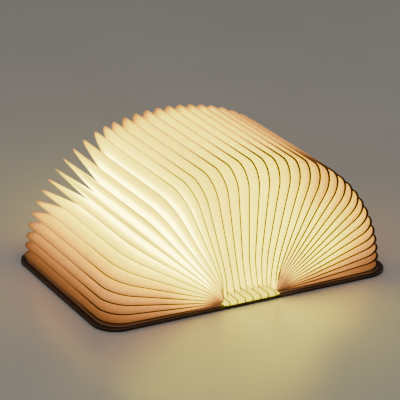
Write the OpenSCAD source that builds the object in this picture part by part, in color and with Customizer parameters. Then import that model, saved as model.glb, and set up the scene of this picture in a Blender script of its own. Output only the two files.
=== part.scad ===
// Folding book lamp: two thin wooden covers on a spine board, joined by
// flexible strips, with a fan of V-folded paper leaves that stands up from the
// spine and spreads to a half circle when the covers lie open.
//
// Frame: X across the open book, Y along the spine (the front end is -Y),
// Z up from the table. The origin is the middle of the resting face.

/* [Covers] */
// Width of one cover board, from its hinge edge to its fore edge
cover_w = 77.5; // [72:0.5:84]
// Height of the covers and the spine board, along the spine
cover_h = 122; // [118:1:136]
// Thickness of the cover boards and the spine board
cover_t = 2.0; // [1.8:0.1:2.6]
// Radius of the covers' outer corners
cover_corner_r = 15; // [8:1:20]
// Bevel around the cover boards' edges
cover_edge = 0.4; // [0.2:0.1:0.6]

/* [Spine and hinges] */
// Width of the spine board, which is the closed book's thickness
spine_w = 25; // [24.4:0.2:28]
// Width of the flexible hinge strip between spine board and cover
hinge_gap = 6; // [5:0.5:8]
// Thickness of the hinge strip
hinge_t = 0.8; // [0.5:0.1:1.2]

/* [Paper fan] */
// Margin between the paper and the covers' ends, at front and back
page_margin = 2; // [1.5:0.5:4]
// Margin between the paper and the covers' fore edges
fore_margin = 3; // [2:0.5:6]
// Radius of a leaf's outer corners
page_corner_r = 14; // [9:1:20]
// Width of the folded band of a leaf, from its ridge to its valley
fold_depth = 20; // [16:0.5:20]
// Radius of the corners of the opening inside a leaf
window_corner_r = 10; // [6:1:14]
// Thickness of the paper
paper_t = 0.2; // [0.14:0.02:0.26]
// Clearance between neighbouring leaves at their valleys
leaf_gap = 0.16; // [0.1:0.02:0.24]
// Angle between the middle leaves, which stand close together
middle_leaf_angle = 3.4; // [3:0.1:4]
// How much wider the upper side leaves open than the lower ones
side_spread = 0.2; // [0:0.05:0.3]

/* [Hub] */
// Angle up to which the leaves stand on the hub's crown
crown_angle = 17; // [14:1:22]
// Radius of the hub's rounded sides
hub_corner_r = 5; // [4:0.5:6]
// How far the middle leaves stand back from the front at their feet
foot_setback = 9; // [4:1:11]
// Distance from the hub's rounded sides to the feet of the side leaves
side_foot = 3.2; // [3:0.2:6]

/* [Light unit] */
// Outer width of the tray on the spine board
tray_w = 23; // [22:0.5:24]
// Length of the tray's trough and of the diffuser
trough_l = 75; // [70:1:76]
// Thickness of the tray's floor and walls
tray_wall = 1.2; // [1:0.1:1.5]
// Height of the trough's walls above the spine board
trough_h = 3.4; // [3:0.2:4]
// Height of the low decks under the leaves' feet, above the spine board
deck_h = 1.8; // [1.7:0.1:2]
// Rise of the diffuser's arch above the trough's walls
diffuser_rise = 5; // [4.4:0.2:6]
// Wall of the diffuser
diffuser_t = 0.9; // [0.7:0.1:1.1]

/* [Electronics] */
// Battery length, along the spine
battery_l = 35; // [30:1:38]
// Battery width
battery_w = 18; // [14:1:19]
// Battery thickness
battery_t = 3.2; // [2.6:0.1:3.2]
// Width of the LED board
led_board_w = 9; // [7:0.5:11]
// Number of LEDs in the row
led_count = 12; // [8:1:14]
// Edge length of an LED
led_size = 2.8; // [2:0.1:3.2]
// Width of the control board
control_w = 13; // [11:0.5:15]
// Thickness of the circuit boards
pcb_t = 0.8; // [0.6:0.1:1]
// Outer width of the charging port
port_w = 7.5; // [7:0.1:8]
// Outer height of the charging port
port_h = 2.5; // [2.3:0.1:2.6]
// Depth of the charging port
port_l = 5.5; // [5:0.5:7]

/* [Magnets] */
// Diameter of the magnets in the covers
magnet_d = 8; // [6:0.5:9]
// Thickness of the magnets
magnet_t = 1.1; // [0.9:0.1:1.2]
// Distance from the fore edge to the closing magnets
magnet_inset = 8; // [7:0.5:12]

/* [Hidden] */
// All leaves of a side, and how many of them stand close together in the middle
LEFT = [19, 6];
RIGHT = [20, 5];
$fn = 48;

function leaf_name(side, k) = str(side, "_leaf_", k < 10 ? "0" : "", k);

// Small clearances
seat_gap = 0.05;      // between glued or seated flat faces
part_gap = 0.2;       // between parts that fit beside each other
foot_gap = 0.3;       // between the leaves' feet and what they stand on
tiny = 0.01;          // overlap of cutting bodies

// Hub curve: the line that the leaves grow from, seen along the spine
hub_half_w = spine_w / 2 + hinge_gap;
endpaper_z = cover_t + seat_gap;
endpaper_t = paper_t;
hub_base_z = endpaper_z + endpaper_t + part_gap;
corner_x = hub_half_w - hub_corner_r;
crown_r = corner_x / sin(crown_angle) + hub_corner_r;
crown_z = hub_base_z + crown_r - (crown_r - hub_corner_r) * cos(crown_angle);

// Leaf outline
page_half = cover_h / 2 - page_margin;
page_l = cover_w - fore_margin;
window_l = page_l - fold_depth;
corner_steps = 4;
foot_bends = [9, 20];         // where the ridge line bends forward, above the foot
foot_bend_shares = [0.35, 0]; // setback that is left at those bends
ridge_inner = 1.2;            // paper build-up behind the ridge
most_wall = 0.4;              // thickest a panel may be, as a share of the fold's width

// Light unit levels
deck_z = cover_t + deck_h;
trough_z = cover_t + trough_h;
trough_half = trough_l / 2;
deck_half = cover_h / 2 - page_margin;
tray_floor = 0.8;
floor_z = cover_t + tray_floor;
rib_t = 1.2;
rib_y = battery_l / 2 + part_gap + rib_t / 2;
battery_z = floor_z + seat_gap;
led_board_z = battery_z + battery_t + part_gap;
led_z = led_board_z + pcb_t;
led_h = 0.7;
led_pitch = (trough_l - 2 * tray_wall - 4) / led_count;
led_board_l = trough_l - 2 * tray_wall - 2 * part_gap;

// Control board and charging port
control_z = cover_t + seat_gap;
control_y0 = rib_y + rib_t / 2 + part_gap;
port_y1 = cover_h / 2 - 0.5;
port_y0 = port_y1 - port_l;
port_z = deck_z - part_gap - port_h;
port_wall = 0.3;
recess_z = port_z - part_gap;
reed_d = 1.8;
reed_l = 11;
reed_x = -3.4;

// Hub paper: ribbed shelf at each end of the spine
shelf_pleats = 10;
shelf_rise = 0.35;
shelf_t = 0.25;
shelf_z = deck_z + seat_gap;
shelf_flat = tray_w / 2;
shelf_half_w = hub_half_w - 0.6;
shelf_edge_z = cover_t + seat_gap;
shelf_front = cover_h / 2 - 0.6;
shelf_back = trough_half + part_gap;
foot_z = shelf_z + shelf_t + shelf_rise + foot_gap;

// Cover magnets: two at the fore edge, one beside the spine for the switch
magnet_z = cover_t - magnet_t - 0.1;
magnet_x = hub_half_w + cover_w - magnet_inset;
magnet_y = page_half - cover_corner_r;
trigger_x = hub_half_w + magnet_d / 2 + 2;
trigger_y = control_y0 + reed_l / 2 + 2;
magnet_places = [[magnet_x, magnet_y], [magnet_x, -magnet_y], [trigger_x, trigger_y]];

// ---------------------------------------------------------------- paper fan

// A point of the hub curve at fan angle a, measured from straight up
function hub_point(a) = a <= crown_angle
    ? [crown_r * sin(a), crown_z - crown_r * (1 - cos(a))]
    : [corner_x + hub_corner_r * sin(a), hub_base_z + hub_corner_r * cos(a)];

// A point at distance r above the hub curve, in the plane of fan angle a
function fan_point(a, r) = hub_point(a) + r * [sin(a), cos(a)];

// Direction across a leaf, towards the cover
function across(a) = [cos(a), -sin(a)];

// Fan angle of valley k of a side, from 0 at the middle to 90 on the cover
function valley_angle(k, side) =
    let (shoulder = side[1] * middle_leaf_angle, t = (k - side[1]) / (side[0] - side[1]))
    k <= side[1] ? k * middle_leaf_angle
    : shoulder + (90 - shoulder) * (t + side_spread * t * (1 - t));

// Where a leaf's foot starts, relative to the hub curve
function foot_r(a, outer_a) = outer_a <= crown_angle
    ? (foot_z - hub_point(a)[1]) / cos(a)
    : side_foot;

// Half outlines as [distance above the hub curve, place along the spine],
// from the front foot to the middle of the fore edge
function ridge_half(foot, setback) = concat(
    [[foot, -page_half + setback]],
    [for (i = [0:1]) [foot + foot_bends[i], -page_half + setback * foot_bend_shares[i]]],
    [for (i = [0:corner_steps]) let (t = 90 * i / corner_steps)
        [page_l - page_corner_r * (1 - sin(t)), -page_half + page_corner_r * (1 - cos(t))]]);
function window_half(foot) = concat(
    [[foot, -page_half + fold_depth]],
    [for (i = [0:1]) [foot + foot_bends[i], -page_half + fold_depth]],
    [for (i = [0:corner_steps]) let (t = 90 * i / corner_steps)
        [window_l - window_corner_r * (1 - sin(t)),
         -page_half + fold_depth + window_corner_r * (1 - cos(t))]]);

// The whole outline: a half and its mirror image
function both_halves(h) = concat(h, [for (i = [len(h) - 1:-1:0]) [h[i][0], -h[i][1]]]);

// One cross-section of a folded leaf between the valley planes a1 and a2:
// ridge, first valley (outside, inside), ridge inside, second valley
function leaf_section(a1, a2, ridge, window) =
    let (am = (a1 + a2) / 2,
         top = fan_point(am, ridge[0]),
         v1 = fan_point(a1, window[0]) + across(a1) * leaf_gap / 2,
         v2 = fan_point(a2, window[0]) - across(a2) * leaf_gap / 2,
         wall = min(paper_t, norm(v2 - v1) * most_wall),
         w1 = v1 + across(a1) * wall,
         w2 = v2 - across(a2) * wall,
         share = ridge_inner / fold_depth,
         mid = (v1 + v2) / 2,
         under = top + (mid - top) * share,
         under_y = ridge[1] + (window[1] - ridge[1]) * share)
    [[top[0], ridge[1], top[1]],
     [v1[0], window[1], v1[1]], [w1[0], window[1], w1[1]],
     [under[0], under_y, under[1]],
     [w2[0], window[1], w2[1]], [v2[0], window[1], v2[1]]];

// A folded leaf: the cross-section swept around the leaf's outline
module folded_leaf(k, side) {
    a1 = valley_angle(k - 1, side);
    a2 = valley_angle(k, side);
    foot = foot_r((a1 + a2) / 2, a2);
    setback = foot_setback * pow(cos((a1 + a2) / 2), 2);
    ridge = both_halves(ridge_half(foot, setback));
    window = both_halves(window_half(foot));
    last = len(ridge) - 1;
    points = [for (j = [0:last]) each leaf_section(a1, a2, ridge[j], window[j])];
    // the outer and inner skins of a panel are split along the same diagonal
    walls = [for (j = [0:last - 1], i = [0:5])
        let (p = 6 * j + i, q = 6 * j + (i + 1) % 6)
        each (i == 2 || i == 5
            ? [[p, q, p + 6], [p + 6, q, q + 6]]
            : [[p, q, q + 6], [p, q + 6, p + 6]])];
    caps = [for (i = [1:4]) each [[0, i + 1, i], [6 * last, 6 * last + i, 6 * last + i + 1]]];
    polyhedron(points, concat(walls, caps), convexity = 6);
}

module right_leaf(k) {
    color("#ffe9b8") folded_leaf(k, RIGHT);
}

module left_leaf(k) {
    color("#ffdf9c") mirror([1, 0, 0]) folded_leaf(k, LEFT);
}

// Sheet that glues the last leaf to the inside of the cover
module endpaper() {
    x0 = hub_half_w + part_gap;
    x1 = hub_half_w + page_l;
    r = page_corner_r;
    translate([0, 0, endpaper_z]) linear_extrude(endpaper_t) union() {
        translate([x0, -page_half]) square([x1 - r - x0, 2 * page_half]);
        translate([x0, r - page_half]) square([x1 - x0, 2 * (page_half - r)]);
        for (s = [-1, 1]) translate([x1 - r, s * (page_half - r)]) circle(r);
    }
}

module right_endpaper() {
    color("#f2e2bd") endpaper();
}

module left_endpaper() {
    color("#f2e2bd") mirror([1, 0, 0]) endpaper();
}

// Ribbed paper shelf in front of and behind the middle leaves
function shelf_line(lift) = concat(
    [[-shelf_half_w, shelf_edge_z + lift]],
    [for (i = [0:2 * shelf_pleats])
        [shelf_flat * (i / shelf_pleats - 1), shelf_z + lift + shelf_rise * (i % 2)]],
    [[shelf_half_w, shelf_edge_z + lift]]);

module hub_paper() {
    low = shelf_line(0);
    high = shelf_line(shelf_t);
    outline = concat(low, [for (i = [len(high) - 1:-1:0]) high[i]]);
    color("#fff0a8") for (s = [0, 1]) mirror([0, s, 0])
        translate([0, -shelf_back, 0]) rotate([90, 0, 0])
            linear_extrude(shelf_front - shelf_back) polygon(outline);
}

// ------------------------------------------------------- boards and hinges

// Outline of a cover board, drawn for the right side and made smaller by inset
module cover_outline(inset) {
    x0 = hub_half_w + inset;
    x1 = hub_half_w + cover_w - inset;
    half = cover_h / 2 - inset;
    r = cover_corner_r - inset;
    hull() {
        translate([x0, -half]) square([1, 2 * half]);
        for (s = [-1, 1]) translate([x1 - r, s * (half - r)]) circle(r);
    }
}

module cover_board() {
    difference() {
        hull() {
            linear_extrude(cover_t) cover_outline(cover_edge);
            translate([0, 0, cover_edge])
                linear_extrude(cover_t - 2 * cover_edge) cover_outline(0);
        }
        for (p = magnet_places) translate([p[0], p[1], magnet_z])
            cylinder(d = magnet_d + part_gap, h = cover_t);
    }
}

module right_cover() {
    color("#4a2f20") cover_board();
}

module left_cover() {
    color("#4a2f20") mirror([1, 0, 0]) cover_board();
}

module magnets() {
    for (p = magnet_places) translate([p[0], p[1], magnet_z])
        cylinder(d = magnet_d, h = magnet_t);
}

module right_magnets() {
    color("silver") magnets();
}

module left_magnets() {
    color("silver") mirror([1, 0, 0]) magnets();
}

// Spine board, with a recess at its back end for the charging port
module spine_board() {
    color("#4a2f20") difference() {
        translate([-spine_w / 2, -cover_h / 2, 0]) cube([spine_w, cover_h, cover_t]);
        translate([-port_w / 2 - part_gap, port_y0 - part_gap, recess_z])
            cube([port_w + 2 * part_gap, cover_h, cover_t]);
    }
}

module hinge_strip() {
    translate([spine_w / 2 + seat_gap, -page_half, (cover_t - hinge_t) / 2])
        cube([hinge_gap - 2 * seat_gap, 2 * page_half, hinge_t]);
}

module right_hinge_strip() {
    color("#2b1c14") hinge_strip();
}

module left_hinge_strip() {
    color("#2b1c14") mirror([1, 0, 0]) hinge_strip();
}

// --------------------------------------------------------------- light unit

module light_tray() {
    inner_w = tray_w - 2 * tray_wall;
    color("#f4f2ea") difference() {
        union() {
            translate([-tray_w / 2, -deck_half, cover_t]) cube([tray_w, 2 * deck_half, deck_h]);
            translate([-tray_w / 2, -trough_half, cover_t]) cube([tray_w, trough_l, trough_h]);
        }
        difference() {
            translate([-inner_w / 2, tray_wall - trough_half, floor_z])
                cube([inner_w, trough_l - 2 * tray_wall, trough_h]);
            for (s = [-1, 1]) translate([-inner_w / 2, s * rib_y - rib_t / 2, floor_z - tiny])
                cube([inner_w, rib_t, trough_z - floor_z - 0.6]);
        }
        translate([-control_w / 2 - part_gap, control_y0 - part_gap, cover_t - tiny])
            cube([control_w + 2 * part_gap, cover_h, pcb_t + 2 * part_gap]);
        translate([-port_w / 2 - part_gap, port_y0 - part_gap, cover_t - tiny])
            cube([port_w + 2 * part_gap, cover_h, deck_h + 1]);
    }
}

// Arch of the diffuser, as a half ellipse on the trough's walls
module arch(half_w, rise) {
    steps = 24;
    polygon([for (i = [0:steps]) let (t = 180 * i / steps) [half_w * cos(t), rise * sin(t)]]);
}

module diffuser() {
    half_w = tray_w / 2;
    color("#fffbe6", 0.9) translate([0, 0, trough_z + seat_gap]) difference() {
        translate([0, trough_half, 0]) rotate([90, 0, 0])
            linear_extrude(trough_l) arch(half_w, diffuser_rise);
        translate([0, trough_half - diffuser_t, -tiny]) rotate([90, 0, 0])
            linear_extrude(trough_l - 2 * diffuser_t)
                arch(half_w - diffuser_t, diffuser_rise - diffuser_t);
    }
}

module led_board() {
    post = 1.6;
    color("#f8f8f8") {
        translate([-led_board_w / 2, -led_board_l / 2, led_board_z])
            cube([led_board_w, led_board_l, pcb_t]);
        // solder pads for the supply wires
        for (s = [-1, 1]) translate([s * led_board_w / 4, led_board_l / 2 - post, led_z])
            cylinder(d = post, h = 0.1);
    }
}

module leds() {
    color("#fff3a0") for (i = [0:led_count - 1])
        translate([-led_size / 2, (i - (led_count - 1) / 2) * led_pitch - led_size / 2, led_z])
            difference() {
                cube([led_size, led_size, led_h]);
                translate([led_size / 2, led_size / 2, led_h - 0.15])
                    cylinder(d = led_size * 0.8, h = 1);
            }
}

// Pouch cell with its folded side flaps and the end with the two tabs
module battery() {
    tab = 2;
    color("#b8bcc2") {
        translate([-battery_w / 2, -battery_l / 2, battery_z])
            cube([battery_w, battery_l - 1, battery_t]);
        translate([-battery_w / 2 + 1, battery_l / 2 - 1, battery_z + battery_t / 2 - 0.2])
            cube([battery_w - 2, 1, 0.4]);
        for (s = [-1, 1]) translate([s * battery_w / 4 - tab / 2, battery_l / 2 - 1, battery_z])
            cube([tab, 0.6, battery_t / 2]);
    }
}

module control_board() {
    board_l = port_y0 - part_gap - control_y0;
    chip = 4;
    chip_y = control_y0 + reed_l / 2;
    color("#1f6b45") {
        translate([-control_w / 2, control_y0, control_z]) cube([control_w, board_l, pcb_t]);
        translate([1, chip_y - chip / 2, control_z]) cube([chip, chip, pcb_t + 0.9]);
    }
}

// Glass reed switch that a magnet in the left cover works
module reed_switch() {
    y0 = control_y0 + 1;
    z = control_z + pcb_t + reed_d / 2 + seat_gap;
    color("#9fd8c8") translate([reed_x, y0, z]) rotate([-90, 0, 0]) {
        translate([0, 0, reed_d / 2]) cylinder(d = reed_d, h = reed_l - reed_d, $fn = 24);
        for (h = [reed_d / 2, reed_l - reed_d / 2]) translate([0, 0, h]) sphere(d = reed_d, $fn = 24);
    }
}

// Charging port: a folded metal shell with its contact tongue
module charge_port() {
    inner_w = port_w - 2 * port_wall;
    inner_h = port_h - 2 * port_wall;
    tongue_h = 0.7;
    color("#c9ccd0") translate([0, port_y0, port_z]) {
        difference() {
            translate([-port_w / 2, 0, 0]) cube([port_w, port_l, port_h]);
            translate([-inner_w / 2, 1, port_wall]) cube([inner_w, port_l, inner_h]);
        }
        translate([-inner_w * 0.35, 1 - tiny, port_h / 2])
            cube([inner_w * 0.7, port_l - 2, tongue_h]);
    }
}

// ------------------------------------------------------------------ drawing

spine_board();
left_cover();
right_cover();
left_hinge_strip();
right_hinge_strip();
left_endpaper();
right_endpaper();
hub_paper();
light_tray();
diffuser();
led_board();
leds();
battery();
control_board();
reed_switch();
charge_port();
left_magnets();
right_magnets();
for (k = [1:LEFT[0]])
    left_leaf(k);
for (k = [1:RIGHT[0]])
    right_leaf(k);
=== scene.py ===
# %% [markdown]
# # A folding book lamp
# The lamp is a small wooden book. Its pages are one accordion of folded paper that stands up
# from the spine when the covers lie open, lit from inside by a row of LEDs.
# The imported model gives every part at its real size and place. This lesson dresses it: the
# paper is folded from flat sheets, the boards are bevelled, and each surface gets its finish.

# %% Load the fixed frame
import math
import random

import bpy
from mathutils import Matrix, Vector


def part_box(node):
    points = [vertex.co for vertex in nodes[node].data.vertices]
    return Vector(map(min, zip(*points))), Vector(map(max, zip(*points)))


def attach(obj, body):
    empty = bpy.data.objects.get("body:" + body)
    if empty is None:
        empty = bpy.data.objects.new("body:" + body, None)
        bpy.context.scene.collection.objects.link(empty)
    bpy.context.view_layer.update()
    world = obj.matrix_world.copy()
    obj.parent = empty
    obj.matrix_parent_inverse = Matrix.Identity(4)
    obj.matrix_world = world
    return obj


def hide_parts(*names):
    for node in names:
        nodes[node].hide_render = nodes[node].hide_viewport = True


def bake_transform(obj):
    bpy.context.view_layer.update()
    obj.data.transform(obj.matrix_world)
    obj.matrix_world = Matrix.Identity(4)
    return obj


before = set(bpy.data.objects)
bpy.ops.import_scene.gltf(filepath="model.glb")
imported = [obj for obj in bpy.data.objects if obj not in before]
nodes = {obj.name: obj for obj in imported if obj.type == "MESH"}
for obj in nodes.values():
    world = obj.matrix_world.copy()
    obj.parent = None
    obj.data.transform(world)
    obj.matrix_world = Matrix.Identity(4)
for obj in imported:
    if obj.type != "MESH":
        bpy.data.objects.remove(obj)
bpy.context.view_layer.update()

MM = 0.001

# %% [markdown]
# ## Shader maths that reads like Python
# A node tree is a sum of small steps. Wrapping a socket in a class that knows how to add and
# multiply lets a formula stay one line, and one method makes every other kind of node.


# %% Socket and finish helpers
class Value:
    """A number socket of a shader, with the operators of a number."""

    def __init__(self, finish, socket):
        self.finish = finish
        self.socket = socket

    def maths(self, operation, *others):
        return self.finish.node("Math", {"operation": operation}, dict(enumerate([self, *others])))

    def __add__(self, other):
        return self.maths("ADD", other)

    def __sub__(self, other):
        return self.maths("SUBTRACT", other)

    def __rsub__(self, other):
        return self.finish.node("Math", {"operation": "SUBTRACT"}, {0: other, 1: self})

    def __mul__(self, other):
        return self.maths("MULTIPLY", other)

    __radd__ = __add__
    __rmul__ = __mul__

    def rise(self, low, high, start=0.0, end=1.0):
        """Goes smoothly from start to end while the value goes from low to high."""
        return self.finish.node(
            "MapRange",
            {"interpolation_type": "SMOOTHSTEP"},
            {"Value": self, "From Min": low, "From Max": high, "To Min": start, "To Max": end},
        )


class Finish:
    """A material whose nodes all come from one method."""

    def __init__(self, name, **shader_values):
        self.material = bpy.data.materials.new(name)
        self.material.use_nodes = True
        self.tree = self.material.node_tree
        self.shader = self.tree.nodes["Principled BSDF"]
        self.shade(**shader_values)

    def node(self, kind, settings, sockets, output=0):
        made = self.tree.nodes.new("ShaderNode" + kind)
        for name, value in settings.items():
            if name == "stops":
                self.set_stops(made.color_ramp, value)
            else:
                setattr(made, name, value)
        for name, value in sockets.items():
            self.join(made.inputs[name], value)
        return Value(self, made.outputs[output])

    def set_stops(self, ramp, stops):
        while len(ramp.elements) < len(stops):
            ramp.elements.new(1.0)
        for element, (place, colour) in zip(ramp.elements, stops):
            element.position = place
            element.color = (*colour, 1.0)

    def join(self, socket, value):
        if isinstance(value, Value):
            self.tree.links.new(value.socket, socket)
        else:
            socket.default_value = value

    def shade(self, **shader_values):
        """Sets sockets of the surface shader, such as base_color or roughness."""
        for name, value in shader_values.items():
            if isinstance(value, tuple) and len(value) == 3:
                value = (*value, 1.0)
            words = [word if word.isupper() else word.title() for word in name.split("_")]
            self.join(self.shader.inputs[" ".join(words)], value)
        return self

    def place(self):
        """The point's place on the piece, from Object coordinates, in metres."""
        return self.node("TexCoord", {}, {}, "Object")

    def noise(self, place, scale, detail=2.0, roughness=0.5, stretch=(1, 1, 1)):
        stretched = self.node("Mapping", {}, {"Vector": place, "Scale": stretch})
        sockets = {"Vector": stretched, "Scale": scale, "Detail": detail, "Roughness": roughness}
        return self.node("TexNoise", {}, sockets)

    def ramp(self, value, stops):
        return self.node("ValToRGB", {"stops": stops}, {"Fac": value})

    def mix(self, share, low, high):
        """Mixes two colours; the Mix node's colour sockets are its numbers 6 and 7, and 2 out."""
        colours = [c if isinstance(c, Value) else (*c, 1.0) for c in (low, high)]
        sockets = {0: share, 6: colours[0], 7: colours[1]}
        return self.node("Mix", {"data_type": "RGBA"}, sockets, 2)

    def bump(self, height, distance, strength):
        sockets = {"Height": height, "Distance": distance, "Strength": strength}
        return self.node("Bump", {}, sockets)


# %% [markdown]
# ## Small modelling helpers
# An operator works on whatever is selected, so each piece starts by clearing the selection.
# A finished piece keeps its place in its mesh, and its object sits at the origin.


# %% Selection and finishing helpers
def clear_selection():
    if bpy.context.object and bpy.context.object.mode != "OBJECT":
        bpy.ops.object.mode_set(mode="OBJECT")
    bpy.ops.object.select_all(action="DESELECT")


def select_only(piece):
    clear_selection()
    piece.select_set(True)
    bpy.context.view_layer.objects.active = piece


def pick_edges(piece, wanted):
    """Selects the edges of a piece that pass a test, and stays in edit mode."""
    select_only(piece)
    bpy.ops.object.mode_set(mode="EDIT")
    bpy.ops.mesh.select_mode(type="EDGE")
    bpy.ops.mesh.select_all(action="DESELECT")
    bpy.ops.object.mode_set(mode="OBJECT")
    for edge in piece.data.edges:
        edge.select = bool(wanted(edge))
    bpy.ops.object.mode_set(mode="EDIT")


def edge_ends(piece, edge):
    return [piece.data.vertices[i].co for i in edge.vertices]


def apply_modifier(piece, kind, **settings):
    select_only(piece)
    modifier = piece.modifiers.new(kind.title(), kind)
    for name, value in settings.items():
        setattr(modifier, name, value)
    bpy.ops.object.modifier_apply(modifier=modifier.name)


def settle(piece, name, *finishes, sharp=30):
    """Puts the piece's place into its mesh, names it and gives it its finishes."""
    select_only(piece)
    bpy.ops.object.transform_apply(location=True, rotation=True, scale=True)
    bpy.ops.object.shade_smooth_by_angle(angle=math.radians(sharp))
    piece.name = name
    piece.data.name = name
    for finish in finishes:
        piece.data.materials.append(finish.material)
    return piece


def dress(finish, *names):
    """Gives CAD nodes that stay in view their finish."""
    for name in names:
        mesh = nodes[name].data
        mesh.materials.clear()
        mesh.materials.append(finish.material)


# %% [markdown]
# ## The camera
# The lamp is seen from its front left and from a little above, through a long lens from
# 1.3 m away, so that the open book's edges stay almost parallel.

# %% Camera
VIEW_FROM = Vector((-0.5823, -1.0360, 0.5310))
VIEW_YAW = math.radians(29.24)
VIEW_PITCH = math.radians(22.37)
VIEW_ROLL = math.radians(1.19)
LENS_MM = 196.1
clear_selection()
bpy.ops.object.camera_add()
camera = bpy.context.object
camera.data.sensor_width = 36
camera.data.lens = LENS_MM
turn = (
    Matrix.Rotation(-VIEW_YAW, 4, "Z")
    @ Matrix.Rotation(math.pi / 2 - VIEW_PITCH, 4, "X")
    @ Matrix.Rotation(VIEW_ROLL, 4, "Z")
)
camera.matrix_world = Matrix.Translation(VIEW_FROM) @ turn
bpy.context.scene.camera = camera
print("camera at", tuple(round(v, 3) for v in VIEW_FROM))

# %% [markdown]
# ## Floor and studio light
# A pale floor, a big soft light overhead and a weaker one from the left show the form. They
# stay weak beside the lamp's own light, which is what colours the paper.

# %% Floor and lights
FLOOR_SIZE = 6.0
FLOOR_GREYS = [(0.3, (0.72, 0.69, 0.64)), (0.7, (0.76, 0.73, 0.68))]
WORLD_COLOUR = (0.8, 0.78, 0.75, 1)
WORLD_STRENGTH = 0.16
clear_selection()
bpy.ops.mesh.primitive_plane_add(size=FLOOR_SIZE)
floor = settle(bpy.context.object, "floor")
floor_finish = Finish("pale_floor", roughness=0.22)
floor_noise = floor_finish.noise(floor_finish.place(), 9.0, detail=3.0)
floor_finish.shade(base_color=floor_finish.ramp(floor_noise, FLOOR_GREYS))
floor.data.materials.append(floor_finish.material)


def soft_light(name, place, size, energy, colour):
    """A square light that looks at the middle of the lamp's foot."""
    bpy.ops.object.light_add(type="AREA", location=place)
    lamp = bpy.context.object
    lamp.name = name
    lamp.data.size = size
    lamp.data.energy = energy
    lamp.data.color = colour
    lamp.rotation_mode = "QUATERNION"
    lamp.rotation_quaternion = (-Vector(place)).to_track_quat("-Z", "Y")


soft_light("overhead", (-0.1, -0.3, 1.6), size=1.4, energy=5.5, colour=(1.0, 0.97, 0.93))
soft_light("left_fill", (-1.5, -0.9, 0.8), size=1.0, energy=1.5, colour=(1.0, 0.95, 0.9))
world = bpy.data.worlds.new("studio")
world.use_nodes = True
sky = world.node_tree.nodes["Background"]
sky.inputs["Color"].default_value = WORLD_COLOUR
sky.inputs["Strength"].default_value = WORLD_STRENGTH
bpy.context.scene.world = world
print("floor and two lights")

# %% [markdown]
# ## The lit paper
# The paper is white and thin, and what colours it is the light that comes through. Near the
# LEDs it is almost white; the further the light has to go through the pleats, the more orange
# it gets. Each fold is glued along its ridge, and a thin dark line is painted there as shade:
# the two glued layers let less light through, and the gap beside the ridge lies in shadow.
# How much light gets to a point depends on its page, so it is worked out with the folds and
# kept on the mesh as the attribute glow. The finish turns it into a colour, with the depth
# in the fold as a second attribute, so the pattern stays with the paper when it moves.

# %% Paper finish
GLOW_STRENGTH = 10.0
LEAF_SEAM = 0.050  # width of the dark seam, as a share of the fold's depth
# On the shelf the same painted seam shade darkens the furrows between the ribs.
SHELF_SEAM = 0.20
# The seam's near-black base colour is painted shade: less light gets through the glued layers, and
# the gap beside the ridge lies in shadow.
PAINTED_SEAM_SHADE = (0.012, 0.008, 0.003)
# The white paper's base colour is tinted tan as painted lamplight, so light bounced in the pleats
# stays yellow.
PAINTED_GLOW_TAN = (0.24, 0.155, 0.045)
YELLOW_GLOW = [
    (0.00, (0.0010, 0.0004, 0.0001)),
    (0.04, (0.0210, 0.0074, 0.0024)),
    (0.09, (0.0520, 0.0200, 0.0056)),
    (0.16, (0.1080, 0.0460, 0.0080)),
    (0.24, (0.1800, 0.0900, 0.0030)),
    (0.32, (0.2500, 0.1750, 0.0010)),
    (0.42, (0.3200, 0.2750, 0.0010)),
    (0.60, (0.4400, 0.4050, 0.0020)),
    (1.00, (1.0000, 0.9200, 0.1400)),
]
LEMON_GLOW = [
    (0.00, (0.0010, 0.0006, 0.0000)),
    (0.20, (0.0500, 0.0300, 0.0000)),
    (0.50, (0.1600, 0.1360, 0.0000)),
    (1.00, (0.2600, 0.2260, 0.0000)),
]


def paper_finish(name, stops, seam_width):
    """Paper that glows: clouds and fibres vary the light, and the painted seam shade stops it."""
    f = Finish(name, roughness=0.72, specular_IOR_level=0.15, emission_strength=GLOW_STRENGTH)
    rest = f.node("Attribute", {"attribute_name": "rest_place"}, {}, "Vector")
    glow = f.node("Attribute", {"attribute_name": "glow"}, {}, "Fac")
    depth = f.node("Attribute", {"attribute_name": "fold_depth"}, {}, "Fac")
    seam = f.node("Attribute", {"attribute_name": "seam"}, {}, "Fac")
    lit = 1 - seam * (1 - depth.rise(0.8 * seam_width, 1.25 * seam_width))
    cloud = f.noise(rest, 25.0)
    fibre = f.noise(rest, 1250.0, detail=3.0, roughness=0.75, stretch=(1.0, 0.45, 1.0))
    level = glow * (0.88 + 0.24 * cloud) * (0.35 + 1.30 * fibre) * lit
    # Where the seam shade is painted, the base colour turns near black and the glow stops.
    f.shade(base_color=f.mix(lit, PAINTED_SEAM_SHADE, PAINTED_GLOW_TAN))
    f.shade(emission_color=f.ramp(level, stops), normal=f.bump(fibre, 0.08 * MM, 0.6))
    return f


leaf_finish = paper_finish("lit_paper", YELLOW_GLOW, LEAF_SEAM)
shelf_finish = paper_finish("lit_shelf_paper", LEMON_GLOW, SHELF_SEAM)
print("paper finishes ready")

# %% [markdown]
# ## Folding the pages
# A real leaf is die-cut like a picture frame that is open towards the spine, and folded in a
# V: its ridge follows the page's outline and its two valley edges run 20 mm further in, glued
# to the neighbours'. Here a flat grid is the paper blank. Every vertex has a place across the
# fold and a place along the outline, and a few short functions say where that point of the
# paper is in the open lamp. A little swell makes the panels soft, as they are on real paper.

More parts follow.
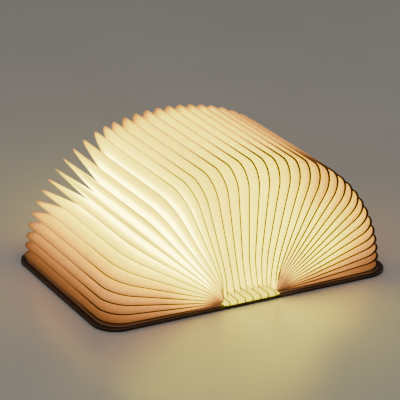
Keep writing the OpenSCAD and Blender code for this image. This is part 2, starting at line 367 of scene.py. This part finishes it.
# %% Sizes of the fan
board_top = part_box("right_cover")[1].z
hub_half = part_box("right_cover")[0].x
page_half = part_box("right_endpaper")[1].y
page_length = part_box("right_endpaper")[1].x - hub_half
LEAVES = {"left": (19, 6), "right": (20, 5)}  # all pages of a side, and the close ones
MIDDLE_STEP = 3.4  # degrees between the close pages
SIDE_SPREAD = 0.2  # how much wider the upper side pages open than the lower ones
CROWN_ANGLE = 17.0  # the pages up to this angle stand on the crown of the hub
HUB_CORNER = 5 * MM
PAPER_LIFT = 0.2 * MM
FOLD_DEPTH = 20 * MM
FRONT_CORNER = 14 * MM
BACK_CORNER = 10.5 * MM
WINDOW_CORNER = 10 * MM
ARM_SHARE = 0.25  # the share of an outline where its front edge ends
CORNER_SHARE = 0.39  # and where its round corner ends
paper_start_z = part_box("right_endpaper")[1].z + PAPER_LIFT
crown_half = hub_half - HUB_CORNER
crown_turn = math.radians(CROWN_ANGLE)
crown_radius = crown_half / math.sin(crown_turn) + HUB_CORNER
crown_z = paper_start_z + crown_radius - (crown_radius - HUB_CORNER) * math.cos(crown_turn)
print("crown radius", round(crown_radius / MM, 1), "mm")
print("pages", round(page_length / MM, 1), "mm long")

# %% [markdown]
# ## The lines of the fan
# Seen from the end of the spine, the fan is laid out on straight lines that grow out of the
# hub: the middle ones from a low round crown and the others from the corners beside it. An
# angle and a distance are then enough to say where a point of a page is.


# %% The lines that the pages follow
def smooth(value, low, high):
    """Goes smoothly from 0 at low to 1 at high."""
    share = min(max((value - low) / (high - low), 0), 1)
    return share * share * (3 - 2 * share)


def hub_point(angle):
    """Where a leaf at this fan angle grows from the hub, as (outwards, up)."""
    a = math.radians(angle)
    if angle <= CROWN_ANGLE:
        return Vector((crown_radius * math.sin(a), crown_z - crown_radius * (1 - math.cos(a))))
    return Vector((crown_half + HUB_CORNER * math.sin(a), paper_start_z + HUB_CORNER * math.cos(a)))


def fan_point(angle, distance):
    """A point at a distance from the hub, straight out at the fan angle."""
    a = math.radians(angle)
    return hub_point(angle) + distance * Vector((math.sin(a), math.cos(a)))


def valley_angle(leaf, side):
    """The fan angle of the valley plane on the outer side of a leaf."""
    count, close = LEAVES[side]
    if leaf <= close:
        return leaf * MIDDLE_STEP
    share, shoulder = (leaf - close) / (count - close), close * MIDDLE_STEP
    return shoulder + (90 - shoulder) * (share + SIDE_SPREAD * share * (1 - share))


# %% [markdown]
# ## The feet of the pages
# The glued feet decide how the fan looks from its ends. Over the ribbed shelf the middle
# pages step back and lean to one side; further out the feet are drawn together into a point,
# which is where the fine lines of the fan run to.

# %% Where the feet stand
MIDDLE_SETBACK = 7.3 * MM  # how far the middle feet stand back from the page's end
SIDE_SETBACK = 1.2 * MM
FOOT_HEIGHT = 26 * MM  # the setback and the sway fade out over this height
FOOT_LEVEL = 4.3 * MM
SIDE_FOOT = 0.2 * MM
FOOT_SWAY = 7.8 * MM
FOOT_BEND = 1.5  # the higher, the more of the bend lies near the foot
GATHER = 0.88  # how much of the way the side feet are drawn together
GATHER_HEIGHT = 14 * MM
GATHER_PLACE = Vector((17.6 * MM, 3.3 * MM))
# Fan angles, in degrees, over which each of these comes in or goes out.
BOARD_FEET, STEEPEST = (16, 22), 60
SWAY_RISE, SWAY_FALL = (-20, 3), (8, 24)
GATHER_RISE = (11, 23)
SETBACK_RISE, SETBACK_FALL = (-32, -2), (8, 22)


def foot_distance(angle):
    """How far from the hub line a leaf's foot is: over the shelf, or down at the board."""
    drop = (FOOT_LEVEL - hub_point(angle)[1]) / math.cos(math.radians(min(angle, STEEPEST)))
    return drop + (SIDE_FOOT - drop) * smooth(angle, *BOARD_FEET)


def foot_sway(side, angle, share):
    """The feet lie over to the right at the front and to the left at the back."""
    outwards, end = (1 if side == "right" else -1), (1 if share < 0.5 else -1)
    turned = end * outwards * angle
    sway = smooth(turned, *SWAY_RISE) * (1 - smooth(turned, *SWAY_FALL))
    return end * outwards * FOOT_SWAY * sway


def page_point(side, angle, distance, share):
    """A fan point, with the feet swayed sideways and, at the sides, drawn together."""
    near = 1 - min(max(distance - foot_distance(angle), 0) / FOOT_HEIGHT, 1)
    sway = Vector((foot_sway(side, angle, share) * near ** FOOT_BEND, 0))
    close = 1 - min(max(distance, 0) / GATHER_HEIGHT, 1)
    gather = GATHER * smooth(angle, *GATHER_RISE) * close ** 2
    return fan_point(angle, distance) + sway + (GATHER_PLACE - hub_point(angle)) * gather


def outline(share, foot, length, half, corner, setback):
    """A point of a page outline as (distance above the hub, place along the spine).

    The share runs from 0 at the front foot to 1 at the back foot."""
    from_end = min(share, 1 - share)
    side = -1 if share < 0.5 else 1
    if from_end < ARM_SHARE:
        distance = foot + (length - corner - foot) * from_end / ARM_SHARE
        near = 1 - min((distance - foot) / FOOT_HEIGHT, 1)
        return distance, side * (half - setback * near ** FOOT_BEND)
    if from_end < CORNER_SHARE:
        t = math.pi / 2 * (from_end - ARM_SHARE) / (CORNER_SHARE - ARM_SHARE)
        return length - corner * (1 - math.sin(t)), side * (half - corner * (1 - math.cos(t)))
    t = (from_end - CORNER_SHARE) / (0.5 - CORNER_SHARE)
    return length, side * (half - corner) * (1 - t)


print("feet of the side pages meet", tuple(round(v / MM, 1) for v in GATHER_PLACE), "mm out and up")

# %% [markdown]
# ## How much light reaches the paper
# The light grows weaker with the way that it has to go. The flat pages at the sides lie in
# the shade of those above them, and the pleats that open widest, half way down the left
# side, let the glare through. The fore edge is seen through two layers, so it is darker.

# %% Light and seams
FULL_LIGHT = 0.56
LAMP_LINE_HALF = 34 * MM  # half the length of the LED row
FAR_REACH, FAR_LOSS = (30 * MM, 90 * MM), 0.18
# Each lean is a share of the way from upright to flat, and each reach a way from the hub.
SHADED_LEAN, SHADED_LOSS = (0.71, 1.02), 0.88
CROWDED_LEAN, CROWDED_REACH, CROWDED_LOSS = (0.3, 0.8), (2 * MM, 14 * MM), 0.6
GLARE_GAIN, GLARE_DEPTH, GLARE_END = 1.2, (0.2, 0.9), (56 * MM, 76 * MM)
GLARE_LEANS = {
    "left": (1.0, (0.10, 0.28), (0.50, 0.72)),
    "right": (0.6, (0.10, 0.17), (0.22, 0.30)),
}
EDGE_LIGHT = 0.80  # light of a fold's edge, as a share of its valley's
OUTER_EDGE = {
    "left": (0.50, (0.60, 0.85), (12 * MM, 40 * MM)),
    "right": (0.36, (0.05, 0.28), (36 * MM, 66 * MM)),
}
TIP_ALONG, TIP_REACH, TIP_LOSS = (40 * MM, 58 * MM), (20 * MM, 56 * MM), 0.50
FOLD_RISES = ((0.35, (0.02, 0.30)), (0.65, (0.36, 0.92)))  # how light grows from edge to valley
SEAM_BACK_LOSS, SEAM_CROWDED_LOSS = 0.66, 0.42
SEAM_CROWDED_ANGLES, SEAM_CROWDED_REACH = (18, 27), (2 * MM, 30 * MM)


def page_light(page, depth, distance, along):
    """Light at a point of a page, from its depth in the fold and its place on the page."""
    lean = page.ridge / 90
    beyond = max(abs(along) - LAMP_LINE_HALF, 0)
    far = smooth(math.hypot(distance, beyond), *FAR_REACH)
    shaded = 0.94 if page.side == "right" else 0.6 + 0.4 * far
    shade = SHADED_LOSS * smooth(lean, *SHADED_LEAN) * shaded
    crowd = CROWDED_LOSS * smooth(lean, *CROWDED_LEAN) * (1 - smooth(distance, *CROWDED_REACH))
    strength, opening, closing = GLARE_LEANS[page.side]
    glare = strength * smooth(lean, *opening) * (1 - smooth(lean, *closing))
    loss, outer_lean, outer_reach = OUTER_EDGE[page.side]
    outer = loss * smooth(lean, *outer_lean) * smooth(distance, *outer_reach)
    tip = smooth(along, *TIP_ALONG) * smooth(distance, *TIP_REACH) * (1 - 0.55 * glare)
    edge = EDGE_LIGHT - max(TIP_LOSS * tip, outer)
    rise = sum(part * smooth(depth, *depths) for part, depths in FOLD_RISES)
    inside = edge + (1 - edge) * rise
    glare *= 1.3 * smooth(depth, *GLARE_DEPTH) * (1 - 0.8 * smooth(distance, *GLARE_END))
    light = FULL_LIGHT * inside * (1 + GLARE_GAIN * glare)
    return light * (1 - shade) * (1 - FAR_LOSS * far) * (1 - crowd)


def seam_strength(page, distance, along):
    """How dark the painted seam shade shows: less at the back of the top, and where the feet crowd.
    """
    behind = smooth(along, -45 * MM, 0) * smooth(distance, 20 * MM, 45 * MM)
    at_foot = 1 - smooth(distance, *SEAM_CROWDED_REACH)
    crowded = smooth(page.ridge, *SEAM_CROWDED_ANGLES) * at_foot
    return (1 - SEAM_BACK_LOSS * behind) * (1 - SEAM_CROWDED_LOSS * crowded)


print("shade takes up to", SHADED_LOSS, "of a page's light")

# %% [markdown]
# ## One folded leaf
# The cross-section of a fold is a thin double fin at its edge, where the two layers are
# glued, and then two panels that swell away from each other. Each page also gets a ripple
# and a brightness of its own, drawn by lot, because no two pleats on a real fan are alike.

# %% Fold one leaf
ALONG_STEPS = 56
FIN_SHARE = 0.060  # the glued fin's share of the fold's depth
PANEL_DEPTHS = [0, 0.038, FIN_SHARE, 0.085, 0.11, 0.2, 0.32, 0.46, 0.62, 0.78, 0.9, 1]
FIN_HALF = 0.20 * MM
SWELL = 0.3
RIPPLE = 0.12 * MM
VALLEY_GAP = 0.08 * MM
LEAST_WIDTH = 0.3  # the panels never come closer than this share of the space between valleys
PAPER_THICK = 0.10 * MM
DROOP, LAST_DROOP = 0.25, 0.05  # how far a side page's ridge hangs, as a share of its fold
DROOP_LEAN = (0.6, 0.85)
FOLD_REFERENCE = 62 * MM  # how far out the points on the two planes are taken
LAST_FOLD_REFERENCE = 45 * MM  # the same for the page on each endpaper


def panel_width(depth, full):
    """Half width of the fold at this share of its depth: a thin fin, then a soft swell."""
    if depth <= FIN_SHARE:
        return FIN_HALF
    t = (depth - FIN_SHARE) / (1 - FIN_SHARE)
    return FIN_HALF + (full - FIN_HALF) * ((1 - SWELL) * t + SWELL * math.sin(math.pi / 2 * t))


def fold_point(page, depth, across, share):
    """Where a point of the blank lies: depth 0 to 1 in the fold, on the side across."""
    ridge_at, ridge_y = outline(
        share, page.feet, page_length, page_half, page.corner(share), page.setback
    )
    valley_at, valley_y = outline(
        share, page.feet, page_length - FOLD_DEPTH, page_half - FOLD_DEPTH, WINDOW_CORNER, 0
    )
    ridge = page_point(page.side, page.ridge, ridge_at, share)
    valley_1 = page_point(page.side, page.inner, valley_at, share)
    valley_2 = page_point(page.side, page.outer, valley_at, share)
    half = (valley_2 - valley_1) / 2
    full = max(half.length - VALLEY_GAP, LEAST_WIDTH * half.length)
    centre = ridge + ((valley_1 + valley_2) / 2 - ridge) * depth
    wave = math.sin(math.pi * (page.phase + 3 * share))
    ripple = page.ripple * wave * (1 - depth) * RIPPLE
    point = centre + half.normalized() * (across * min(panel_width(depth, full), full) + ripple)
    distance = ridge_at + (valley_at - ridge_at) * depth
    along = ridge_y + (valley_y - ridge_y) * depth
    facts = {
        "fold_depth": depth,
        "seam": seam_strength(page, distance, along),
        "glow": page.lot * page_light(page, depth, distance, along),
    }
    return point, along, facts


class Page:
    """The numbers of one page: its planes, its feet and its small accidents."""

    def __init__(self, side, leaf):
        self.side = side
        self.outwards = 1 if side == "right" else -1
        self.inner, self.outer = valley_angle(leaf - 1, side), valley_angle(leaf, side)
        last = leaf == LEAVES[side][0]
        droop = DROOP * smooth(self.inner / 90, *DROOP_LEAN) + LAST_DROOP * last
        self.ridge = self.inner + (self.outer - self.inner) * (0.5 + droop)
        self.feet = foot_distance(self.ridge)
        lifted = self.outwards * self.ridge
        middle = smooth(lifted, *SETBACK_RISE) * (1 - smooth(lifted, *SETBACK_FALL))
        self.setback = SIDE_SETBACK + (MIDDLE_SETBACK - SIDE_SETBACK) * middle
        self.ripple, self.phase = dice.uniform(-1, 1), dice.uniform(0, 2)
        self.lot = dice.uniform(0.92, 1.08)

    def corner(self, share):
        return FRONT_CORNER if share < 0.5 else BACK_CORNER


def folded_leaf(side, leaf, finish):
    """Folds a flat grid into one page."""
    page = Page(side, leaf)
    outwards = page.outwards
    clear_selection()
    columns = 2 * (len(PANEL_DEPTHS) - 1)
    bpy.ops.mesh.primitive_grid_add(x_subdivisions=columns, y_subdivisions=ALONG_STEPS, size=1)
    blank = bpy.context.object
    facts = []
    for vertex in blank.data.vertices:
        column = round((vertex.co.x + 0.5) * columns) - columns // 2
        depth = PANEL_DEPTHS[abs(column)]
        across = outwards * (1 if column > 0 else -1 if column < 0 else 0)
        point, along, fact = fold_point(page, depth, across, vertex.co.y + 0.5)
        vertex.co = (outwards * point[0], along, point[1])
        facts.append(fact)
    store_paper_facts(blank, facts)
    apply_modifier(blank, "SOLIDIFY", thickness=PAPER_THICK, offset=-1, use_rim=True)
    store_rest_place(blank)
    name = f"{side}_leaf_{leaf:02d}"
    piece = settle(blank, name.replace("leaf", "page"), finish, sharp=50)
    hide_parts(name)
    level = LAST_FOLD_REFERENCE if leaf == LEAVES[side][0] else FOLD_REFERENCE
    start, end = fan_point(page.inner, level), fan_point(page.outer, level)
    outwards * start[0]
    outwards * end[0]
    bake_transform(piece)
    return piece


def store_paper_facts(piece, facts):
    """Keeps the numbers that the paper finish reads, one of each for every point."""
    for name in facts[0]:
        kept = piece.data.attributes.new(name, "FLOAT", "POINT")
        kept.data.foreach_set("value", [fact[name] for fact in facts])


def store_rest_place(piece):
    """Keeps every point's place in the open lamp, so the fibres move with the paper."""
    places = [c for vertex in piece.data.vertices for c in vertex.co]
    rest = piece.data.attributes.new("rest_place", "FLOAT_VECTOR", "POINT")
    rest.data.foreach_set("vector", places)


dice = random.Random(7)
pages = [
    folded_leaf(side, leaf, leaf_finish)
    for side in ("left", "right") for leaf in range(1, LEAVES[side][0] + 1)
]
print("folded", len(pages), "pages of", len(pages[0].data.vertices), "points")

# %% [markdown]
# ## The ribbed shelf on the hub
# At each end of the spine the paper runs on as a low ribbed shelf in front of the middle
# pages' feet. It is made in three pieces: a middle one on the base, and two side ones over
# the hinges.

# %% Hub shelf
SHELF_PITCH = 5.1 * MM
SHELF_RIB = 0.5 * MM
SHELF_DOME = 2.0 * MM
SHELF_DEPTH = 13.5 * MM
SHELF_ROLL = 1.3 * MM
SHELF_CORNER = 1.0 * MM
SHELF_THICK = 0.12 * MM
ROLL_SHARE = 0.7  # the share of the shelf's depth that lies flat before it rolls over
SHELF_ROWS, MIDDLE_COLUMNS, SIDE_COLUMNS = 14, 150, 50
SHELF_GLOW, SHELF_FADE = 0.85, 0.2  # light in the middle, and its loss at the right end
ROLL_GAIN, RIM_LOSS = 0.3, 0.4
FURROW_LIGHT, RIB_GAIN = 0.7, 0.3
SHELF_LIFT = 0.13 * MM
SHELF_SIDE_GAP = 0.2 * MM
SHELF_END_GAP = 0.1 * MM
shelf_base = board_top + SHELF_LIFT
shelf_half = hub_half - SHELF_SIDE_GAP
shelf_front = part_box("spine_board")[1].y - SHELF_END_GAP
spine_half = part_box("spine_board")[1].x


def rib_phase(x):
    """0 in a furrow between two ribs and 1 on top of a rib."""
    return abs(math.sin(math.pi * x / SHELF_PITCH))


def shelf_height(x):
    """Height above the boards: a low arch with a furrow between soft ribs."""
    edge = min(abs(x) / shelf_half, 1)
    return (1 - edge ** 6) ** 0.5 * (SHELF_DOME + SHELF_RIB * (rib_phase(x) ** 0.5 - 0.2))


def shelf_light(x, forward, turn):
    """Brightest on the ribs and on the roll, and fading towards the right and the rim."""
    light = (SHELF_GLOW - SHELF_FADE * x / shelf_half) * (1 + ROLL_GAIN * math.sin(2 * turn))
    light *= 1 - RIM_LOSS * smooth(forward, 0.9, 1)
    return light * (FURROW_LIGHT + RIB_GAIN * rib_phase(x))


def shelf_piece(name, low, high, end, columns):
    """The part of a shelf from low to high across the spine, at its front or back end."""
    clear_selection()
    bpy.ops.mesh.primitive_grid_add(x_subdivisions=columns, y_subdivisions=SHELF_ROWS, size=1)
    sheet = bpy.context.object
    facts = []
    for vertex in sheet.data.vertices:
        x = low + (high - low) * (vertex.co.x + 0.5)
        forward = 0.5 - vertex.co.y * (1 if end < 0 else -1)
        corner = SHELF_CORNER * smooth(abs(x) / shelf_half, 0.8, 1)
        flat = (shelf_front - SHELF_ROLL - corner) - SHELF_DEPTH * max(0, 1 - forward / ROLL_SHARE)
        turn = math.pi / 2 * max(0, (forward - ROLL_SHARE) / (1 - ROLL_SHARE))
        height = shelf_height(x) * math.cos(turn)
        vertex.co = (x, end * (flat + SHELF_ROLL * math.sin(turn)), shelf_base + height)
        glow = shelf_light(x, forward, turn)
        # The seam shade paints the furrows between the ribs darker, as shade.
        facts.append({"fold_depth": rib_phase(x), "seam": 0.95, "glow": glow})
    store_paper_facts(sheet, facts)
    apply_modifier(sheet, "SOLIDIFY", thickness=SHELF_THICK, offset=-1, use_rim=True)
    store_rest_place(sheet)
    piece = settle(sheet, name, shelf_finish, sharp=60)
    return piece


for end, word in ((-1, "front"), (1, "back")):
    name = f"shelf_{word}_middle"
    middle_part = shelf_piece(name, -spine_half, spine_half, end, MIDDLE_COLUMNS)
    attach(middle_part, "base")
    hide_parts("hub_paper")
    for side, sign in (("left", -1), ("right", 1)):
        low, high = sorted((sign * spine_half, sign * shelf_half))
        side_part = shelf_piece(f"shelf_{word}_{side}", low, high, end, SIDE_COLUMNS)
        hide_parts("hub_paper")
        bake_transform(side_part)
print("shelf pieces made")

# %% [markdown]
# ## Walnut
# Slow noise that is stretched along the spine makes the rings, and fast noise the pores. The
# same finish in a paler brown is kept for the edges, as a painted highlight along them.


# %% Wood finishes
def wood_finish(name, dark, light, dullness):
    """Wood with its grain along the spine, dark pores and a thin coat of lacquer."""
    f = Finish(name, coat_weight=0.05, coat_roughness=0.3, specular_IOR_level=0.35)
    place = f.place()
    rings = f.noise(place, 60.0, detail=5.0, roughness=0.6, stretch=(1.0, 0.07, 1.0))
    pores = f.noise(place, 900.0, stretch=(1.0, 0.05, 1.0))
    grain = f.ramp(rings, [(0.30, dark), (0.72, light)])
    flecked = f.mix(pores.rise(0.55, 0.75, 0.0, 0.5), grain, tuple(c * 0.45 for c in dark))
    f.shade(base_color=flecked, roughness=dullness + 0.2 * pores)
    f.shade(normal=f.bump(pores, 0.06 * MM, 0.6))
    return f


wood = wood_finish("walnut_face", (0.018, 0.008, 0.0045), (0.058, 0.026, 0.013), dullness=0.38)
# A paler walnut for the bevelled edges, as a painted highlight.
edge_highlight_wood = wood_finish("walnut_edge_highlight", (0.085, 0.045, 0.026), (0.16, 0.092, 0.056), dullness=0.42)
print("walnut finishes ready")

# %% [markdown]
# ## Wooden covers
# Each cover starts as a block, gets its two round fore corners and then a small bevel all
# round, whose paler wood is a painted highlight along the edges. The pockets for the magnets
# are cut from the inside. The spine board keeps its plain shape and only gets its finish.

# %% Cover boards
COVER_CORNER = 15 * MM
COVER_BEVEL = 0.42 * MM
POCKET_GAP = 0.1 * MM
MAGNET_REACH = 5 * MM  # points closer than twice this belong to one magnet


def cover_board(side):
    """One cover, bevelled and with its pockets, in the box of its CAD node."""
    sign = -1 if side == "left" else 1
    low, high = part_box(f"{side}_cover")
    size = high - low
    clear_selection()
    bpy.ops.mesh.primitive_cube_add(size=1, location=(low + high) / 2)
    board = bpy.context.object
    board.scale = size
    bpy.ops.object.transform_apply(location=True, rotation=False, scale=True)
    fore_x = high.x if sign > 0 else low.x

    def fore_corner(edge):
        a, b = edge_ends(board, edge)
        return abs(a.z - b.z) > size.z / 2 and abs(a.x - fore_x) < MM

    pick_edges(board, fore_corner)
    bpy.ops.mesh.bevel(offset=COVER_CORNER, offset_type="OFFSET", segments=14, affect="EDGES")
    bpy.ops.object.mode_set(mode="OBJECT")
    board.data.materials.append(wood.material)
    board.data.materials.append(edge_highlight_wood.material)

    def around(edge):
        a, b = edge_ends(board, edge)
        return abs(a.z - b.z) < size.z / 4

    pick_edges(board, around)
    # The bevel takes the paler finish, a painted highlight along the edges.
    bpy.ops.mesh.bevel(offset=COVER_BEVEL, segments=3, affect="EDGES", material=1)
    bpy.ops.object.mode_set(mode="OBJECT")
    cut_pockets(board, f"{side}_magnets")
    piece = settle(board, f"{side}_board", sharp=35)
    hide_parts(f"{side}_cover")
    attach(piece, f"{side}_cover")
    return piece


def cut_pockets(board, magnets):
    """Cuts a round pocket for each magnet, a little wider than the magnet."""
    for centre, radius, bottom in round_solids(magnets):
        clear_selection()
        depth = board_top - bottom + MM
        bpy.ops.mesh.primitive_cylinder_add(
            vertices=40, radius=radius + POCKET_GAP, depth=depth,
            location=(centre.x, centre.y, bottom + depth / 2),
        )
        cutter = bpy.context.object
        apply_modifier(board, "BOOLEAN", operation="DIFFERENCE", object=cutter, solver="EXACT")
        bpy.data.objects.remove(cutter)


def round_solids(name):
    """Centre, radius and lowest point of each separate round solid of a CAD node."""
    groups = []
    for vertex in nodes[name].data.vertices:
        for group in groups:
            if (vertex.co.xy - group[0].xy).length < 2 * MAGNET_REACH:
                group.append(vertex.co)
                break
        else:
            groups.append([vertex.co])
    for group in groups:
        low = Vector([min(c[i] for c in group) for i in range(3)])
        high = Vector([max(c[i] for c in group) for i in range(3)])
        yield (low + high) / 2, (high.x - low.x) / 2, low.z


boards = [cover_board(side) for side in ("left", "right")]
dress(wood, "spine_board")
print("boards of", [len(board.data.polygons) for board in boards], "faces")

# %% [markdown]
# ## Flexible hinge strips
# Between the spine board and each cover lies a strip of thin dark leathercloth, glued into
# the board edges. It starts as a flat grid with a shallow groove along its middle, where the
# real strip bends, and gets its thickness last.

# %% Hinge strips
GROOVE = 0.2 * MM
CLOTH_INSET = 0.06 * MM
HIDE_BROWNS = [(0.3, (0.014, 0.007, 0.004)), (0.7, (0.03, 0.015, 0.009))]
hide = Finish("leathercloth", roughness=0.62, sheen_weight=0.15, specular_IOR_level=0.3)
hide_place = hide.place()
pebbles = hide.node("TexVoronoi", {}, {"Vector": hide_place, "Scale": 1400.0})
hide.shade(
    base_color=hide.ramp(hide.noise(hide_place, 120.0), HIDE_BROWNS),
    normal=hide.bump(pebbles, 0.08 * MM, 0.5),
)


def hinge_cloth(side):
    """The strip between the spine board and one cover, which bends on the real book."""
    low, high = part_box(f"{side}_hinge_strip")
    top, half = board_top - CLOTH_INSET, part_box("spine_board")[1].y - CLOTH_INSET
    clear_selection()
    bpy.ops.mesh.primitive_grid_add(x_subdivisions=16, y_subdivisions=60, size=1)
    strip = bpy.context.object
    for vertex in strip.data.vertices:
        x, y = vertex.co.x, vertex.co.y
        groove = GROOVE * math.cos(math.pi * x) ** 2
        vertex.co = (low.x + (high.x - low.x) * (x + 0.5), 2 * half * y, top - groove)
    thickness = top - CLOTH_INSET - GROOVE
    apply_modifier(strip, "SOLIDIFY", thickness=thickness, offset=-1, use_rim=True)
    piece = settle(strip, f"{side}_hinge_cloth", hide, sharp=40)
    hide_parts(f"{side}_hinge_strip")
    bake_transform(piece)


for side in ("left", "right"):
    hinge_cloth(side)
print("hinge strips made")

# %% [markdown]
# ## What lies under the paper
# The light unit stays as the frame has it, and only needs its finishes: moulded white
# plastic, a milky arch that glows, yellow LEDs, a foil cell and a green circuit board.

# %% Finishes of the light unit
def moulded(name, colour, roughness, **more):
    """One colour with a very fine speckle, for plastic, foil, glass and metal."""
    f = Finish(name, roughness=roughness, **more)
    speckle = f.noise(f.place(), 2500.0)
    f.shade(
        base_color=f.mix(speckle, tuple(c * 0.94 for c in colour), colour),
        normal=f.bump(speckle, 0.02 * MM, 0.4),
    )
    return f


milky = moulded(
    "milky_arch", (0.9, 0.85, 0.66), 0.35, emission_color=(1.0, 0.86, 0.4), emission_strength=3.0
)
phosphor = moulded(
    "led_phosphor", (0.9, 0.75, 0.2), 0.25, emission_color=(1.0, 0.9, 0.5), emission_strength=4.0
)
nickel = moulded("nickel", (0.66, 0.65, 0.62), 0.22, metallic=1.0)
dress(moulded("white_moulding", (0.86, 0.84, 0.79), 0.5), "light_tray")
dress(milky, "diffuser")
dress(moulded("white_circuit", (0.85, 0.85, 0.82), 0.4), "led_board")
dress(phosphor, "leds")
dress(moulded("green_circuit", (0.02, 0.16, 0.08), 0.35), "control_board")
dress(moulded("reed_glass", (0.35, 0.6, 0.55), 0.2), "reed_switch")
dress(moulded("cell_foil", (0.62, 0.64, 0.67), 0.35, metallic=0.8), "battery")
dress(moulded("plated_steel", (0.6, 0.61, 0.63), 0.3, metallic=1.0), "charge_port")
dress(nickel, "left_magnets", "right_magnets")
endpaper_finish = Finish("plain_paper", roughness=0.8)
endpaper_place = endpaper_finish.place()
endpaper_fibre = endpaper_finish.noise(endpaper_place, 260.0, detail=4.0, roughness=0.65)
endpaper_finish.shade(
    base_color=endpaper_finish.mix(endpaper_fibre, (0.50, 0.34, 0.19), (0.60, 0.43, 0.26)),
    normal=endpaper_finish.bump(endpaper_fibre, 0.08 * MM, 0.5),
)
dress(endpaper_finish, "left_endpaper", "right_endpaper")
print("light unit and endpapers dressed")
